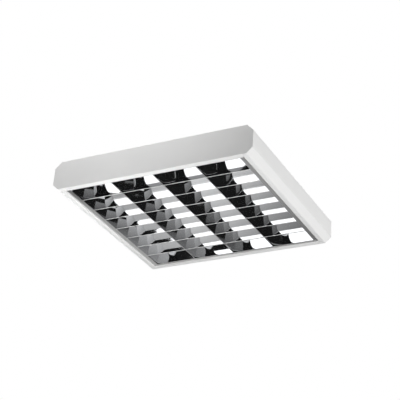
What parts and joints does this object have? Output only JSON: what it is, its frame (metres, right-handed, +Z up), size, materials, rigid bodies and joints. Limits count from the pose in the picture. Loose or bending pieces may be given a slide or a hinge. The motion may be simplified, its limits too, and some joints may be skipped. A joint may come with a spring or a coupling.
{
  "type": "fluorescent ceiling luminaire",
  "caption": "Flat white surface-mounted ceiling light with straight lamps behind a hinged mirror louvre of parabolic dividers and cross blades.",
  "frame": {"origin": "centre of the ceiling fixing slots, on the back face that lies on the ceiling", "axes": "+Z up into the ceiling, +X across the lamps towards the side that the louvre opens from, +Y along the lamps"},
  "size_m": [0.686, 0.62, 0.097],
  "materials": {
    "white_steel": "white powder coat, satin",
    "mirror_aluminium": "bright rolled, specular",
    "lamp_glass": "white phosphor inside clear glass",
    "cap_aluminium": "satin",
    "white_plastic": "moulded, satin",
    "starter_plastic": "moulded, glossy",
    "zinc_steel": "zinc plated",
    "ballast_steel": "bright steel case",
    "capacitor_plastic": "moulded",
    "bush_rubber": "matt"
  },
  "bodies": {
    "housing": {"housing_tray": "white_steel", "end_plate_near": "white_steel", "end_plate_far": "white_steel", "end_plate_screws": "zinc_steel", "holder_rail_near": "white_steel", "holder_rail_far": "white_steel", "lampholder_near_1": "white_plastic", "lampholder_near_2": "white_plastic", "lampholder_near_3": "white_plastic", "lampholder_near_4": "white_plastic", "lampholder_far_1": "white_plastic", "lampholder_far_2": "white_plastic", "lampholder_far_3": "white_plastic", "lampholder_far_4": "white_plastic", "gear_cover": "white_steel", "gear_cover_screws": "zinc_steel", "ballast_near": "ballast_steel", "ballast_far": "ballast_steel", "ballast_screws": "zinc_steel", "capacitor": "capacitor_plastic", "capacitor_clip": "zinc_steel", "terminal_block": "white_plastic", "cable_bush": "bush_rubber", "hinge_bracket_near": "zinc_steel", "hinge_bracket_far": "zinc_steel", "catch_spring_near": "zinc_steel", "catch_spring_far": "zinc_steel"},
    "louvre": {"hinge_pins": "zinc_steel", "side_reflector_left": "mirror_aluminium", "side_reflector_right": "mirror_aluminium", "end_reflector_near": "mirror_aluminium", "end_reflector_far": "mirror_aluminium", "divider_1": "mirror_aluminium", "divider_2": "mirror_aluminium", "divider_3": "mirror_aluminium", "cross_blade_1": "mirror_aluminium", "cross_blade_2": "mirror_aluminium", "cross_blade_3": "mirror_aluminium", "cross_blade_4": "mirror_aluminium", "cross_blade_5": "mirror_aluminium", "cross_blade_6": "mirror_aluminium", "cross_blade_7": "mirror_aluminium"},
    "lamp_1": {"lamp_tube_1": "lamp_glass", "lamp_caps_1": "cap_aluminium", "rotors_1": "white_plastic"},
    "lamp_2": {"lamp_tube_2": "lamp_glass", "lamp_caps_2": "cap_aluminium", "rotors_2": "white_plastic"},
    "lamp_3": {"lamp_tube_3": "lamp_glass", "lamp_caps_3": "cap_aluminium", "rotors_3": "white_plastic"},
    "lamp_4": {"lamp_tube_4": "lamp_glass", "lamp_caps_4": "cap_aluminium", "rotors_4": "white_plastic"},
    "starter_1": {"starter_1": "starter_plastic"},
    "starter_2": {"starter_2": "starter_plastic"},
    "starter_3": {"starter_3": "starter_plastic"},
    "starter_4": {"starter_4": "starter_plastic"}
  },
  "joints": [
    {"name": "louvre_hinge", "type": "hinge", "parent": "housing", "child": "louvre", "pos_m": [-0.298, 0, -0.089], "axis": [0, 1, 0], "range_deg": [0, 90]},
    {"name": "lamp_1_twist", "type": "hinge", "parent": "housing", "child": "lamp_1", "pos_m": [-0.219, 0, -0.0345], "axis": [0, 1, 0], "range_deg": [0, 90]},
    {"name": "lamp_2_twist", "type": "hinge", "parent": "housing", "child": "lamp_2", "pos_m": [-0.073, 0, -0.0345], "axis": [0, 1, 0], "range_deg": [0, 90]},
    {"name": "lamp_3_twist", "type": "hinge", "parent": "housing", "child": "lamp_3", "pos_m": [0.073, 0, -0.0345], "axis": [0, 1, 0], "range_deg": [0, 90]},
    {"name": "lamp_4_twist", "type": "hinge", "parent": "housing", "child": "lamp_4", "pos_m": [0.219, 0, -0.0345], "axis": [0, 1, 0], "range_deg": [0, 90]},
    {"name": "starter_1_twist", "type": "hinge", "parent": "housing", "child": "starter_1", "pos_m": [-0.25, -0.28, -0.0225], "axis": [0, 1, 0], "range_deg": [0, 90]},
    {"name": "starter_2_twist", "type": "hinge", "parent": "housing", "child": "starter_2", "pos_m": [-0.104, -0.28, -0.0225], "axis": [0, 1, 0], "range_deg": [0, 90]},
    {"name": "starter_3_twist", "type": "hinge", "parent": "housing", "child": "starter_3", "pos_m": [0.104, -0.28, -0.0225], "axis": [0, 1, 0], "range_deg": [0, 90]},
    {"name": "starter_4_twist", "type": "hinge", "parent": "housing", "child": "starter_4", "pos_m": [0.25, -0.28, -0.0225], "axis": [0, 1, 0], "range_deg": [0, 90]}
  ]
}
